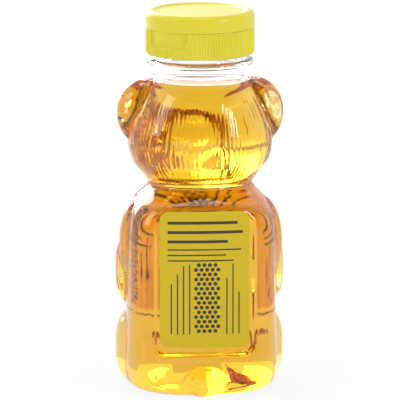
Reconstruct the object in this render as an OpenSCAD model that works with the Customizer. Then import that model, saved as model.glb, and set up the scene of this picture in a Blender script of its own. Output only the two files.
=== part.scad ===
// Squeeze bottle in the shape of a sitting bear, filled with honey, with a screw-on
// flip-top closure. Millimetres. +Z is up, the bear faces -Y, and the origin is the
// middle of the base.

/* [Bottle] */
// Height of the bear, from the table to the foot of its neck
bear_h = 120.5; // [110:0.5:130]
// Scale of the bear's width and depth about its axis
girth = 1; // [0.92:0.01:1.12]
// Depth of the trunk behind the axis
back_depth = 26.4; // [24:0.2:28]
// Depth of the trunk in front of the axis
belly_depth = 27.4; // [25:0.2:28]
// Wall of the blown body
wall = 0.8; // [0.5:0.05:1.2]
// Rise of the hollow under the base
push_up = 2.6; // [1.5:0.1:4]
// Depth by which the two label panels are sunk
panel_depth = 0.6; // [0.3:0.05:1]
// Width of the label panels
panel_w = 38.6; // [30:0.2:40]
// Lower edge of the back label panel
panel_z = 16.4; // [14:0.2:20]
// Height of the back label panel
panel_h = 58.6; // [50:0.2:60]
// Lower edge of the front label panel
front_panel_z = 24; // [21:0.2:28]
// Corner radius of the label panels
panel_r = 5; // [3:0.5:8]
// Radius to which the back panel is bowed
back_bow = 120; // [90:5:200]
// Radius to which the front panel is bowed
front_bow = 52; // [45:1:70]

/* [Neck] */
// Outer diameter of the neck at the root of its thread
neck_d = 34.9; // [33:0.1:36]
// Wall of the neck
neck_wall = 1.7; // [1.3:0.05:2.2]
// Length of the neck from the shoulder to the lip
neck_h = 16; // [15:0.1:17]
// Reach of the support ring beyond the neck
ring_reach = 2.75; // [1.8:0.05:3]
// Thickness of the support ring at its root
ring_t = 2.2; // [1.6:0.1:2.6]
// Plain neck between the shoulder and the support ring
ring_z = 3.7; // [3:0.1:4.2]
// Pitch of the thread
pitch = 4.233; // [3.8:0.001:4.8]
// Height of the neck's thread over its root
thread_depth = 1.1; // [0.8:0.05:1.2]
// Turns of the neck's thread
thread_turns = 1.1; // [0.8:0.05:1.2]

/* [Closure] */
// Clearance between the neck's thread and the skirt
thread_gap = 0.5; // [0.4:0.05:0.8]
// Gap between the support ring and the skirt
skirt_gap = 2; // [1:0.1:2.6]
// Height of the flip lid
lid_h = 6.4; // [6:0.1:7.5]
// Wall of the closure's skirt
skirt_wall = 1.7; // [1.5:0.05:2]
// Wall of the flip lid
lid_wall = 1.3; // [1:0.05:1.5]
// Depth of the dish in the top of the lid
dish_depth = 0.7; // [0.3:0.05:1]
// Thickness of the deck under the lid
deck_t = 1.2; // [0.9:0.05:1.5]
// Number of grip ribs round the skirt
rib_count = 120; // [60:4:160]
// Bore of the pouring spout
spout_bore = 6.4; // [5.8:0.1:7.5]
// Height of the pouring spout over the deck
spout_h = 3.4; // [3:0.1:3.8]
// Angle of the thumb recess, anticlockwise from +X
thumb_angle = 47; // [0:1:359]
// Width of the thumb recess
thumb_w = 18; // [14:0.5:24]
// Height of the thumb recess
thumb_h = 6.2; // [4:0.1:7]
// Depth of the thumb recess
thumb_depth = 1; // [0.6:0.05:1.1]
// Width of the film hinge
hinge_w = 9; // [6:0.5:12]
// Thickness of the film hinge
hinge_t = 0.35; // [0.25:0.05:0.4]
// Thickness of the sealing washer
washer_t = 0.8; // [0.6:0.05:1]

/* [Contents and labels] */
// Level of the honey over the table
fill_z = 118.4; // [90:0.2:118.6]
// Bare margin of a panel at the sides of its label
label_side = 2.3; // [1.2:0.1:5]
// Bare margin of the back panel over and under its label
label_end = 3.1; // [1.2:0.1:8]
// Bare margin of the front panel over and under its label
front_label_end = 3.8; // [2.4:0.1:8]
// Corner radius of the labels
label_r = 3.6; // [2:0.2:5]
// Thickness of the label film
label_t = 0.12; // [0.08:0.01:0.2]

/* [Hidden] */
$fn = 96;
neck_r = neck_d / 2;
bore_r = neck_r - neck_wall;
ring_r = neck_r + ring_reach;

// Height at which the stations and lobes of the bear were drawn
DRAWN_H = 120.5;

// Trunk and head from the table up: height, half width, depth behind, depth in front,
// squareness behind and squareness in front, where 2 is an ellipse
STATIONS = [
    [0, 24.5, 21.5, 21.5, 2.4, 2.3],
    [1.2, 26.8, 23.8, 23.8, 2.6, 2.4],
    [4, 28.2, back_depth - 1, belly_depth - 2, 3.2, 2.6],
    [12, 29, back_depth, belly_depth - 0.8, 3.8, 2.7],
    [30, 28.4, back_depth, belly_depth, 4, 2.8],
    [46, 28.2, back_depth, belly_depth, 4, 2.8],
    [60, 28.1, back_depth, belly_depth - 0.4, 4, 2.8],
    [68, 27, back_depth - 0.1, belly_depth - 1.4, 3.8, 2.7],
    [73, 24.7, back_depth - 0.8, belly_depth - 3.2, 3.2, 2.5],
    [76.5, 21.4, 22.4, 21.8, 2.4, 2.2],
    [79, 20, 19.4, 19.2, 2, 2],
    [82, 21.8, 20.4, 20.2, 2, 2],
    [88, 26.2, 24, 23.2, 2.1, 2.1],
    [95, 27.6, 25.2, 24, 2.2, 2.2],
    [102, 26.8, 24.8, 23.6, 2.2, 2.2],
    [109, 24, 22.8, 22, 2.2, 2.1],
    [115.5, 20.4, 20, 19.6, 2.1, 2.1],
    [DRAWN_H, neck_r, neck_r, neck_r, 2, 2]
];

// Ear, upper arm, elbow, hand, thigh and foot, on both sides of the middle: centre,
// half sizes, bluntness of the top and bottom, and softness of the crease round it
SIDE_LOBES = [
    [20, 1, 106, 11.7, 7.8, 13.3, 2.1, 1],
    [22.5, 4, 57, 8.6, 9.5, 17, 2, 1.2],
    [22.3, -3, 45, 9.9, 9, 16, 3, 1.2],
    [22.6, -13.6, 42, 6.6, 11.2, 9.4, 2, 0.8],
    [18, -5, 14.3, 14.3, 16.5, 17.2, 3, 1.4],
    [14.6, -17.5, 10.4, 9.5, 11.9, 10.2, 2.4, 0.8]
];

// Tail, muzzle and nose, on the middle
MIDDLE_LOBES = [
    [0, 21, 6.8, 8.6, 8, 7.6, 2, 1],
    [0, -16.5, 92.5, 9.5, 11, 8.2, 2.2, 1],
    [0, -24, 95.8, 4, 4.4, 2.9, 2, 0.5]
];

// Floor and hollow under the base: share of the base's outline, and share of the push-up
BASE_RINGS = [[0.4, 0.93], [0.72, 0.55], [0.9, 0]];

// Surface grid: columns over a side and over a panel, most and least space between rows
side_columns = 8;
panel_columns = 5;
row_step = 4.1;
row_gap = 0.3;

// Draft at the edge of a label panel, and gaps that keep neighbours apart
panel_edge = 0.8;
label_gap = 0.1;
label_drop = 1.2;
honey_gap = 0.3;
seal_fit = 0.15;
plug_fit = 0.15;
washer_gap = 0.4;
washer_seal_gap = 0.2;
rim_gap = 0.2;
part_gap = 0.1;
// Length by which a cutting body runs past what it cuts
past = 1;

// Levels from the shoulder to the top of the lid
ring_low = bear_h + ring_z;
ring_high = ring_low + ring_t;
lip_z = bear_h + neck_h;
deck_low = lip_z + washer_t;
deck_high = deck_low + deck_t;
lid_low = deck_high + part_gap;
top_z = lid_low + lid_h;
skirt_low = ring_high + skirt_gap;
cap_h = top_z - skirt_low;

// Radii of the closure
skirt_in = neck_r + thread_depth + thread_gap;
cap_r = skirt_in + skirt_wall;
land_r = cap_r - 0.05;
land_h = 0.4;
rib_crest = cap_r - 0.1;
rib_depth = 0.3;
rib_valley = rib_crest - rib_depth;
rib_root = 0.3;
rib_lead = 0.8;
core_r = rib_valley - 0.1;
lid_in = cap_r - lid_wall;
rim_r = lid_in - rim_gap;
rim_h = 1;
rim_t = 0.9;
spout_r = spout_bore / 2;
spout_top_r = spout_r + 1.4;
spout_foot_r = spout_r + 3.3;
spout_top_z = deck_high + spout_h;
seal_r = bore_r - seal_fit;
seal_t = 1;
seal_h = 3;
skirt_round = 0.5;
thumb_corner = 2.7;

// Threads: half widths at root and crest, depth sunk in the wall, and steps in a turn
thread_foot = 1.2;
thread_crest = 0.5;
thread_sink = 0.3;
thread_root_gap = 0.3;
thread_steps = 24;
thread_to_lip = 1.9;
thread_start = lip_z - thread_to_lip - thread_turns * pitch;
cap_thread_depth = thread_depth + thread_gap - thread_root_gap;
cap_thread_turns = thread_turns - 0.2;
cap_thread_start = thread_start - pitch / 2;
cap_thread_low = skirt_low + thread_foot + 0.4;
cap_thread_first = ceil((cap_thread_low - cap_thread_start) / pitch * thread_steps);

// Film hinge: direction from the axis, level at which it bends, its lugs and the reach of
// its web over and under that level
hinge_angle = thumb_angle + 180;
axis_z = (deck_high + lid_low) / 2;
lug_r = cap_r + 0.3;
lug_h = 2;
lug_gap = 0.3;
lug_margin = 0.3;
lug_sink = 0.4;
web_r = lug_r + 0.25 + hinge_t;
web_reach = lug_gap + 0.6;

// Plug under the lid, which shuts the spout, and the lid's top
plug_r = spout_r - plug_fit;
plug_tip_r = plug_r - 0.45;
plug_tip_z = spout_top_z - 1.7;
plug_chamfer = 0.3;
lid_t = 1.1;
ceiling_z = top_z - dish_depth - lid_t;
lid_corner = 1.5;
edge_r = 2.2;
dish_rim = 0.75;
dish_slope = 1;
dish_r = cap_r - edge_r - dish_rim;

// Roundings of the neck's lip and support ring
lip_round = 0.5;
ring_slope = 0.3;
ring_edge = 0.4;

rise = bear_h / DRAWN_H;
panel_top = panel_z + panel_h;

// Row i of the stations with its height in real millimetres
function station(i) = [for (k = [0:5]) k == 0 ? STATIONS[i][0] * rise : STATIONS[i][k]];

// Slope of the stations' values at row i
function slope(i) =
    let (lower = station(max(i - 1, 0)), upper = station(min(i + 1, len(STATIONS) - 1)))
    (upper - lower) / (upper[0] - lower[0]);

// Smooth station at height z, through the rows on both sides of it
function station_at(z) =
    let (
        below = [for (i = [0:len(STATIONS) - 2]) if (station(i)[0] <= z) i],
        i = len(below) == 0 ? 0 : max(below),
        a = station(i),
        b = station(i + 1),
        h = b[0] - a[0],
        t = min((z - a[0]) / h, 1)
    )
    (2 * pow(t, 3) - 3 * t * t + 1) * a + (pow(t, 3) - 2 * t * t + t) * h * slope(i)
    + (3 * t * t - 2 * pow(t, 3)) * b + (pow(t, 3) - t * t) * h * slope(i + 1);

// Distance from the axis to the trunk, in the direction c, s, at the station given
function trunk(c, s, st) =
    let (depth = s > 0 ? st[2] : st[3], n = s > 0 ? st[4] : st[5])
    pow(pow(abs(c) / st[1], n) + pow(abs(s) / depth, n), -1 / n);

// Distance from the axis to the far side of a lobe, or 0 where the ray misses it
function reach(c, s, z, l) =
    let (
        slice = 1 - pow(abs(z / rise - l[2]) / l[5], l[6]),
        a = pow(c / l[3], 2) + pow(s / l[4], 2),
        b = c * l[0] / pow(l[3], 2) + s * l[1] / pow(l[4], 2),
        d = b * b - a * (pow(l[0] / l[3], 2) + pow(l[1] / l[4], 2) - slice)
    )
    slice > 0 && d > 0 ? (b + sqrt(d)) / a : 0;

// The larger of two radii, with the crease between them rounded over the width k
function soft_max(a, b, k) =
    let (h = min(max(0.5 + 0.5 * (a - b) / k, 0), 1))
    b + (a - b) * h + k * h * (1 - h);

// Radius r grown by the lobes of a list from row i on
function grown(r, c, s, z, lobes, i = 0) =
    i == len(lobes) ? r
    : grown(soft_max(r, reach(c, s, z, lobes[i]), lobes[i][7]), c, s, z, lobes, i + 1);

// Share of girth that acts at height z, which dies out towards the neck
function girth_at(z) = 1 + (girth - 1) * min((bear_h - z) / 10, 1);

// Point of the bear's skin, before its panels are sunk
function skin_point(angle, z, st) =
    let (
        c = cos(angle),
        s = sin(angle),
        side = grown(trunk(c, s, st), abs(c), s, z, SIDE_LOBES),
        r = grown(side, c, s, z, MIDDLE_LOBES) * girth_at(z)
    )
    [r * c, r * s, z];

// Distance from a panel's outline, less than 0 inside it
function outside_panel(x, z, low) =
    let (
        qx = abs(x) - panel_w / 2 + panel_r,
        qz = abs(z - (low + panel_top) / 2) - (panel_top - low) / 2 + panel_r
    )
    norm([max(qx, 0), max(qz, 0)]) + min(max(qx, qz), 0) - panel_r;

// Depth from the axis to the middle of a panel's face
back_face = back_depth * girth - panel_depth;
front_face = belly_depth * girth - panel_depth;

// Distance from the axis to a bowed face, in a direction whose sine is s
function bowed(s, face, bow) =
    let (m = face - bow)
    s * m + sqrt(s * s * m * m - m * m + bow * bow);

// Point p drawn in to the panel that it lies on, for a skin that runs inset under it
function sunk(p, inset) =
    let (
        r = norm([p[0], p[1]]),
        s = abs(p[1]) / r,
        behind = p[1] > 0,
        face = behind ? bowed(s, back_face - inset, back_bow - inset)
            : bowed(s, front_face - inset, front_bow - inset),
        low = behind ? panel_z : front_panel_z,
        depth = inset - outside_panel(p[0] * face / r, p[2], low),
        share = min(max(depth / panel_edge, 0), 1),
        k = face < r ? 1 + (face / r - 1) * share : 1
    )
    [p[0] * k, p[1] * k, p[2]];

// Angle at which a panel's edge stands, seen from the axis
function edge_angle(face, bow, inset) =
    let (x = panel_w / 2 - inset)
    atan2(face - bow + sqrt(bow * bow - x * x), x);

// Column angles of one quarter, from the side to the middle of a panel
function quarter(face, bow) =
    let (outer = edge_angle(face, bow, 0), inner = edge_angle(face, bow, panel_edge))
    concat(
        [for (i = [0:side_columns]) outer * i / side_columns],
        [for (i = [0:panel_columns - 1]) inner + (90 - inner) * i / panel_columns]
    );

// Column angles all the way round, from +X anticlockwise
function all_columns() =
    let (
        back = quarter(back_face, back_bow),
        front = quarter(front_face, front_bow),
        n = len(back)
    )
    concat(
        back, [90], [for (i = [n - 1:-1:0]) 180 - back[i]],
        [for (i = [1:n - 1]) 180 + front[i]], [270], [for (i = [n - 1:-1:1]) 360 - front[i]]
    );

// Heights of the grid's rows: the stations, even steps between them, and the panel edges
function free_rows() = [
    for (i = [0:len(STATIONS) - 2])
        let (a = station(i)[0], b = station(i + 1)[0], n = ceil((b - a) / row_step))
        for (k = [0:n - 1]) a + (b - a) * k / n
];
function all_rows() =
    let (
        edges = [panel_z, front_panel_z, panel_top - panel_edge],
        free = [for (z = free_rows())
            if (min([for (e = edges) abs(z - e - panel_edge / 2)]) > 1) z],
        pairs = [for (e = edges) for (z = [e, e + panel_edge]) z]
    )
    concat(in_order(concat(free, pairs)), [bear_h]);

// A list of heights in rising order
function in_order(list) =
    len(list) < 2 ? list
    : let (mid = list[floor(len(list) / 2)])
    concat(
        in_order([for (z = list) if (z < mid) z]),
        [mid],
        in_order([for (z = list) if (z > mid) z])
    );

// Rings of the skin before its panels are sunk
function skin_rings(rows, columns) = [
    for (z = rows)
        let (st = station_at(z))
        [for (angle = columns) skin_point(angle, z, st)]
];

// Rings moved inwards along their normals, with the panels sunk
function inset_rings(rings, inset) = [
    for (i = [0:len(rings) - 1])
        let (n = len(rings[i]))
        [for (j = [0:n - 1])
            let (
                along = rings[i][(j + 1) % n] - rings[i][(j + n - 1) % n],
                up = rings[min(i + 1, len(rings) - 1)][j] - rings[max(i - 1, 0)][j],
                out = cross(along, up)
            )
            sunk(rings[i][j] - out * inset / norm(out), inset)]
];

// Ring with its points moved to height z
function levelled(ring, z) = [for (p = ring) [p[0], p[1], z]];

// Ring where the lines from ring a to ring b pass height z
function ring_between(a, b, z) = [
    for (j = [0:len(a) - 1]) a[j] + (b[j] - a[j]) * (z - a[j][2]) / (b[j][2] - a[j][2])
];

// Rings of a floor over the push-up, from the middle out, inside the ring given
function floor_rings(ring, lift) = [
    for (f = BASE_RINGS) [for (p = ring) [p[0] * f[0], p[1] * f[0], lift + push_up * f[1]]]
];

// Solid through a list of rings, closed by the points first and last, with each quad cut
// along its shorter diagonal
module lofted(rings, first, last) {
    n = len(rings[0]);
    count = len(rings) * n;
    sides = [
        for (i = [0:len(rings) - 2]) for (j = [0:n - 1])
            let (
                k = (j + 1) % n,
                a = i * n + j,
                b = i * n + k,
                rising = norm(rings[i + 1][k] - rings[i][j]),
                falling = norm(rings[i + 1][j] - rings[i][k])
            )
            each rising < falling ? [[a, a + n, b + n], [a, b + n, b]]
                : [[a, a + n, b], [b, a + n, b + n]]
    ];
    start = [for (j = [0:n - 1]) [count, j, (j + 1) % n]];
    end = [for (j = [0:n - 1]) [count + 1, count - n + (j + 1) % n, count - n + j]];
    polyhedron(
        points = concat([for (r = rings) each r], [first, last]),
        faces = concat(sides, start, end)
    );
}

// First row that lies over the floor of the shell
function first_row(rows) = min([for (i = [0:len(rows) - 1]) if (rows[i] > wall + row_gap) i]);

// Blown shell of the bear, open at the foot of the neck
module bottle_body() {
    rows = all_rows();
    skin = skin_rings(rows, all_columns());
    outer = inset_rings(skin, 0);
    inner = inset_rings(skin, wall);
    low = first_row(rows);
    top = len(rows) - 1;
    rings = concat(
        floor_rings(outer[0], 0),
        outer,
        [levelled(inner[top], bear_h)],
        [for (i = [top - 1:-1:low]) inner[i]],
        [for (i = [len(BASE_RINGS) - 1:-1:0]) floor_rings(inner[low], wall)[i]]
    );
    color("#f6e9b8", 0.4)
        lofted(rings, [0, 0, push_up], [0, 0, push_up + wall]);
}

// Honey, up to its level
module honey() {
    rows = all_rows();
    inset = wall + honey_gap;
    rings = inset_rings(skin_rings(rows, all_columns()), inset);
    low = first_row(rows);
    last = max([
        for (i = [0:len(rows) - 2]) if (max([for (p = rings[i]) p[2]]) < fill_z - row_gap) i
    ]);
    color("#e8921c")
        lofted(
            concat(
                floor_rings(rings[low], inset),
                [for (i = [low:last]) rings[i]],
                [ring_between(rings[last], rings[last + 1], fill_z)]
            ),
            [0, 0, push_up + inset], [0, 0, fill_z]
        );
}

// Thread along a helix that passes +X at height start: r is its root, out is 1 for a
// thread that stands outwards and -1 for one that stands inwards, first is the step at
// which it begins, and its depth runs out over a step at both ends
module thread(r, depth, out, start, first, turns) {
    steps = round(turns * thread_steps);
    function point(i, dr, dz) =
        let (a = 360 * i / thread_steps, q = r + out * dr)
        [q * cos(a), q * sin(a), start + pitch * i / thread_steps + dz];
    points = [
        for (i = [first:first + steps])
            let (h = i == first || i == first + steps ? -thread_sink / 2 : depth)
            each [point(i, -thread_sink, -thread_foot), point(i, h, -thread_crest),
                point(i, h, thread_crest), point(i, -thread_sink, thread_foot)]
    ];
    walls = [
        for (i = [0:steps - 1]) for (k = [0:3])
            let (a = 4 * i + k, b = 4 * i + (k + 1) % 4)
            each [[a, b, b + 4], [a, b + 4, a + 4]]
    ];
    faces = concat(
        walls,
        [[3, 2, 1], [3, 1, 0]],
        [[4 * steps, 4 * steps + 1, 4 * steps + 2], [4 * steps, 4 * steps + 2, 4 * steps + 3]]
    );
    polyhedron(points = points, faces = out > 0 ? faces : [for (f = faces) [f[2], f[1], f[0]]]);
}

// Threaded neck with its support ring
module bottle_neck() {
    profile = [
        [bore_r, bear_h], [neck_r, bear_h], [neck_r, ring_low],
        [ring_r - ring_edge, ring_low + ring_slope],
        [ring_r, ring_low + ring_slope + ring_edge],
        [ring_r, ring_high - ring_edge], [ring_r - ring_edge, ring_high], [neck_r, ring_high],
        [neck_r, lip_z - lip_round], [neck_r - lip_round, lip_z], [bore_r, lip_z]
    ];
    color("#e8eef0", 0.5) {
        rotate_extrude() polygon(profile);
        thread(neck_r, thread_depth, 1, thread_start, 0, thread_turns);
    }
}

// Rectangle with round corners, about its middle
module rounded(w, h, r) {
    square([w, h - 2 * r], center = true);
    square([w - 2 * r, h], center = true);
    for (x = [-1, 1], z = [-1, 1]) translate([x * (w / 2 - r), z * (h / 2 - r)]) circle(r);
}

// Film of label bowed over a panel face, which looks towards +Y
module label(w, h, mid_z, face, bow) {
    inner = bow + label_gap;
    intersection() {
        translate([0, face - bow, mid_z - h])
            difference() {
                cylinder(r = inner + label_t, h = 2 * h, $fn = 360);
                translate([0, 0, -past]) cylinder(r = inner, h = 2 * h + 2 * past, $fn = 360);
            }
        translate([0, 0, mid_z])
            rotate([-90, 0, 0])
            linear_extrude(face + label_gap + label_t + past)
            rounded(w, h, label_r);
    }
}

module back_label() {
    color("#f3de1f")
        label(panel_w - 2 * label_side, panel_h - 2 * label_end, (panel_z + panel_top) / 2,
            back_face, back_bow);
}

module front_label() {
    color("#f3de1f")
        rotate([0, 0, 180])
        label(panel_w - 2 * label_side, panel_top - front_panel_z - 2 * front_label_end,
            (front_panel_z + panel_top) / 2 - label_drop, front_face, front_bow);
}

// Foam ring that the closure presses on the lip
module sealing_washer() {
    color("#f4f2ea")
        translate([0, 0, lip_z])
        difference() {
            cylinder(r = skirt_in - washer_gap, h = washer_t);
            translate([0, 0, -past])
                cylinder(r = seal_r + washer_seal_gap, h = washer_t + 2 * past);
        }
}

// Upright grip ribs, as a toothed ring
module ribs() {
    translate([0, 0, skirt_low + rib_lead])
        linear_extrude(deck_high - land_h / 2 - skirt_low - rib_lead)
        difference() {
            polygon([
                for (i = [0:2 * rib_count - 1])
                    let (a = 180 * i / rib_count, r = i % 2 == 0 ? rib_crest : rib_valley)
                    [r * cos(a), r * sin(a)]
            ]);
            circle(rib_valley - rib_root);
        }
}

// Block that carries one end of the film hinge, upwards from the height given
module hinge_lug(low, inner_r) {
    rotate([0, 0, hinge_angle])
        translate([inner_r, -hinge_w / 2 - lug_margin, low])
        cube([lug_r - inner_r, hinge_w + 2 * lug_margin, lug_h]);
}

// Hollow under the lid's edge that a thumb pushes into
module thumb_recess() {
    intersection() {
        translate([0, 0, skirt_low])
            difference() {
                cylinder(r = cap_r + past, h = cap_h);
                translate([0, 0, -past])
                    cylinder(r = rib_crest - thumb_depth, h = cap_h + 2 * past);
            }
        rotate([90, 0, 90 + thumb_angle])
            translate([0, deck_high, cap_r / 2])
            linear_extrude(cap_r)
            rounded(thumb_w, 2 * thumb_h, thumb_corner);
    }
}

// Skirt, deck, spout and plug seal, with ribs, thread and hinge lug
module closure_base() {
    seal_low = lip_z - seal_h;
    profile = [
        [spout_r, deck_low], [seal_r - seal_t, deck_low], [seal_r - seal_t, seal_low],
        [seal_r - seal_t / 2, seal_low], [seal_r, seal_low + seal_t / 2], [seal_r, deck_low],
        [skirt_in, deck_low], [skirt_in, skirt_low], [core_r - skirt_round, skirt_low],
        [core_r, skirt_low + skirt_round], [core_r, deck_high - land_h],
        [land_r, deck_high - land_h], [land_r, deck_high], [rim_r, deck_high],
        [rim_r, deck_high + rim_h], [rim_r - rim_t, deck_high + rim_h],
        [rim_r - rim_t, deck_high], [spout_foot_r, deck_high], [spout_top_r, spout_top_z],
        [spout_r, spout_top_z]
    ];
    color("#e3d93a")
        difference() {
            union() {
                rotate_extrude() polygon(profile);
                ribs();
                hinge_lug(axis_z - lug_gap - lug_h, core_r - lug_sink);
                thread(skirt_in, cap_thread_depth, -1, cap_thread_start, cap_thread_first,
                    cap_thread_turns);
            }
            thumb_recess();
        }
}

// Dished lid with the plug that shuts the spout
module flip_lid() {
    profile = concat(
        [[0, plug_tip_z], [plug_tip_r - plug_chamfer, plug_tip_z],
            [plug_tip_r, plug_tip_z + plug_chamfer], [plug_r, spout_top_z],
            [plug_r, ceiling_z], [lid_in - lid_corner, ceiling_z],
            [lid_in, ceiling_z - lid_corner], [lid_in, lid_low], [cap_r, lid_low]],
        [for (a = [0:15:90])
            [cap_r - edge_r + edge_r * cos(a), top_z - edge_r + edge_r * sin(a)]],
        [[dish_r, top_z], [dish_r - dish_slope, top_z - dish_depth], [0, top_z - dish_depth]]
    );
    color("#e6dc3e") {
        rotate_extrude() polygon(profile);
        hinge_lug(axis_z + lug_gap, lid_in + lug_sink);
    }
}

// Web of thin plastic that joins the lid to the base
module film_hinge() {
    fold_r = web_r - hinge_t;
    inner_reach = web_reach - hinge_t;
    color("#e3d93a")
        rotate([90, 0, hinge_angle])
        translate([0, axis_z])
        linear_extrude(hinge_w, center = true)
        polygon([
            [lug_r, -web_reach], [web_r, -web_reach], [web_r, web_reach], [lug_r, web_reach],
            [lug_r, inner_reach], [fold_r, inner_reach], [fold_r, -inner_reach],
            [lug_r, -inner_reach]
        ]);
}

bottle_body();
bottle_neck();
honey();
back_label();
front_label();
sealing_washer();
closure_base();
flip_lid();
film_hinge();
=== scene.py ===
"""Honey bear bottle: the visible pieces, their finishes and the studio."""
import math

import bpy
import numpy as np
from bpy.props import FloatProperty, FloatVectorProperty, IntProperty, PointerProperty
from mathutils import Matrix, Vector


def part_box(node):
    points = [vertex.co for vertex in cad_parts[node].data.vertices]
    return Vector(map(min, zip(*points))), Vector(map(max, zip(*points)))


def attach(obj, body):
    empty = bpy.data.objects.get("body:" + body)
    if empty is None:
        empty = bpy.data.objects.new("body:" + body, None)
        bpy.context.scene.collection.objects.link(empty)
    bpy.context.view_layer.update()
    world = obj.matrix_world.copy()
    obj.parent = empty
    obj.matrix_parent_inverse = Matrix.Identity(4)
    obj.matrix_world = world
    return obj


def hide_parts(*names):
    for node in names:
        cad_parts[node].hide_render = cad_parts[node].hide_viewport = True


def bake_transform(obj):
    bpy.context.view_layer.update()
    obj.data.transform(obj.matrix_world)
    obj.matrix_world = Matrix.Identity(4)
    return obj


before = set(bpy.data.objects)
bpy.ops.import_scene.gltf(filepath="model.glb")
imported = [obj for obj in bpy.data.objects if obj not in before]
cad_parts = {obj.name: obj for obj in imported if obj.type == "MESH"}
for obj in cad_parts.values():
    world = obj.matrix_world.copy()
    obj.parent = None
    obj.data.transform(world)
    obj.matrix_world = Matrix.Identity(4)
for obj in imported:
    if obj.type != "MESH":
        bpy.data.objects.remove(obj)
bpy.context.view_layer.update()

bl_info = {
    "name": "Honey bear bottle",
    "version": (1, 0, 0),
    "blender": (4, 5, 0),
    "location": "View3D > Sidebar > Honey Bear",
    "description": "Squeeze bottle in the shape of a sitting bear, with honey and a flip-top closure",
    "category": "Object",
}

MM = 0.001


def node_box(name):
    """Lowest and highest corner of a frame node, in millimetres."""
    low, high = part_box(name)
    return [v / MM for v in low], [v / MM for v in high]


BODY_LOW, BODY_HIGH = node_box("bottle_body")
NECK_HIGH = node_box("bottle_neck")[1]
HONEY_HIGH = node_box("honey")[1]
BACK_LOW, BACK_HIGH = node_box("back_label")
FRONT_LOW, FRONT_HIGH = node_box("front_label")
BASE_LOW, BASE_HIGH = node_box("closure_base")
LID_LOW, LID_HIGH = node_box("flip_lid")
WASHER_HIGH = node_box("sealing_washer")[1]
WEB_LOW, WEB_HIGH = node_box("film_hinge")


class BearSettings(bpy.types.PropertyGroup):
    wall: FloatProperty(name="Wall", description="Wall of the blown body, mm", default=0.8, min=0.5)
    columns: IntProperty(name="Columns", description="Points round the skin", default=288)
    row_step: FloatProperty(name="Row step", description="Space between rows, mm", default=0.56)
    fur_depth: FloatProperty(name="Fur depth", description="Depth of the combed fur, mm", default=0.25)
    fur_pitch: FloatProperty(name="Fur pitch", description="Width of a strand of fur, mm", default=1.6)
    plastic: FloatVectorProperty(
        name="Plastic", description="Colour of the clear plastic", subtype="COLOR", size=3,
        default=(0.985, 0.985, 0.975))
    plastic_ior: FloatProperty(name="Plastic IOR", description="Refraction of the plastic", default=1.57)


class HoneySettings(bpy.types.PropertyGroup):
    sink: FloatProperty(name="Sink", description="Reach of the honey into the wall, mm", default=0.3)
    absorption: FloatProperty(name="Absorption", description="Strength per metre", default=80.0)
    tint: FloatVectorProperty(
        name="Tint", description="Colour that the honey lets through", subtype="COLOR", size=3,
        default=(0.972, 0.825, 0.01))
    honey_ior: FloatProperty(name="Honey IOR", description="Refraction of the honey", default=1.49)


class LabelSettings(bpy.types.PropertyGroup):
    ground: FloatVectorProperty(
        name="Ground", description="Colour of the label", subtype="COLOR", size=3,
        default=(0.90, 0.72, 0.012))
    ink: FloatVectorProperty(
        name="Ink", description="Colour of the print", subtype="COLOR", size=3,
        default=(0.045, 0.03, 0.012))
    translucence: FloatProperty(
        name="Translucence", description="Share of the light that goes through the back film",
        default=0.35, subtype="FACTOR")
    front_translucence: FloatProperty(
        name="Front translucence", description="Share of the light that goes through the front film",
        default=0.85, subtype="FACTOR")


class ClosureSettings(bpy.types.PropertyGroup):
    colour: FloatVectorProperty(
        name="Plastic", description="Colour of the closure", subtype="COLOR", size=3,
        default=(0.84, 0.74, 0.035))
    ribs: IntProperty(name="Ribs", description="Grip ribs round the skirt", default=120)
    foam: FloatVectorProperty(
        name="Foam", description="Colour of the washer", subtype="COLOR", size=3,
        default=(0.86, 0.85, 0.8))


class StageSettings(bpy.types.PropertyGroup):
    azimuth: FloatProperty(name="Azimuth", description="Camera direction, degrees", default=176.0)
    elevation: FloatProperty(name="Elevation", description="Camera height, degrees", default=11.0)
    distance: FloatProperty(name="Distance", description="Camera distance", default=1.6, unit="LENGTH")
    view_height: FloatProperty(
        name="View height", description="Height that fills the frame", default=0.1528, unit="LENGTH")
    aim_z: FloatProperty(name="Aim", description="Height that the camera looks at", default=0.0714,
                         unit="LENGTH")


def clear_selection():
    """Deselect everything, so that an operator acts on one piece only."""
    if bpy.context.object and bpy.context.object.mode != "OBJECT":
        bpy.ops.object.mode_set(mode="OBJECT")
    bpy.ops.object.select_all(action="DESELECT")


def only(ob):
    """Select one object and make it the active one."""
    clear_selection()
    ob.select_set(True)
    bpy.context.view_layer.objects.active = ob
    return ob


def settle(ob, name):
    """Give a finished piece its name, with its place in its mesh."""
    only(ob)
    bpy.ops.object.transform_apply(location=True, rotation=True, scale=True)
    ob.name = name
    ob.data.name = name
    return ob


def mesh_object(name, points, faces):
    """Object from points in millimetres and faces."""
    mesh = bpy.data.meshes.new(name)
    mesh.from_pydata((np.asarray(points) * MM).tolist(), [], faces)
    mesh.update()
    ob = bpy.data.objects.new(name, mesh)
    bpy.context.scene.collection.objects.link(ob)
    return ob


def smooth(ob, degrees=None):
    """Smooth shading, with edges sharper than the angle left hard."""
    only(ob)
    if degrees is None:
        bpy.ops.object.shade_smooth()
    else:
        bpy.ops.object.shade_smooth_by_angle(angle=math.radians(degrees))


# Neck: radii outside and inside, and the height at which the blown body ends
NECK_R = 17.45
BORE_R = 15.75
GRID_TOP = BODY_HIGH[2]

# Support ring over the shoulder, and the thread under the lip
RING_LOW = GRID_TOP + 3.7
RING_HIGH = RING_LOW + 2.2
RING_R = NECK_HIGH[0]
LIP = NECK_HIGH[2]
PITCH, TURNS, THREAD_DEPTH = 4.233, 1.1, 1.1
THREAD_LOW = LIP - 1.9 - TURNS * PITCH

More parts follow.
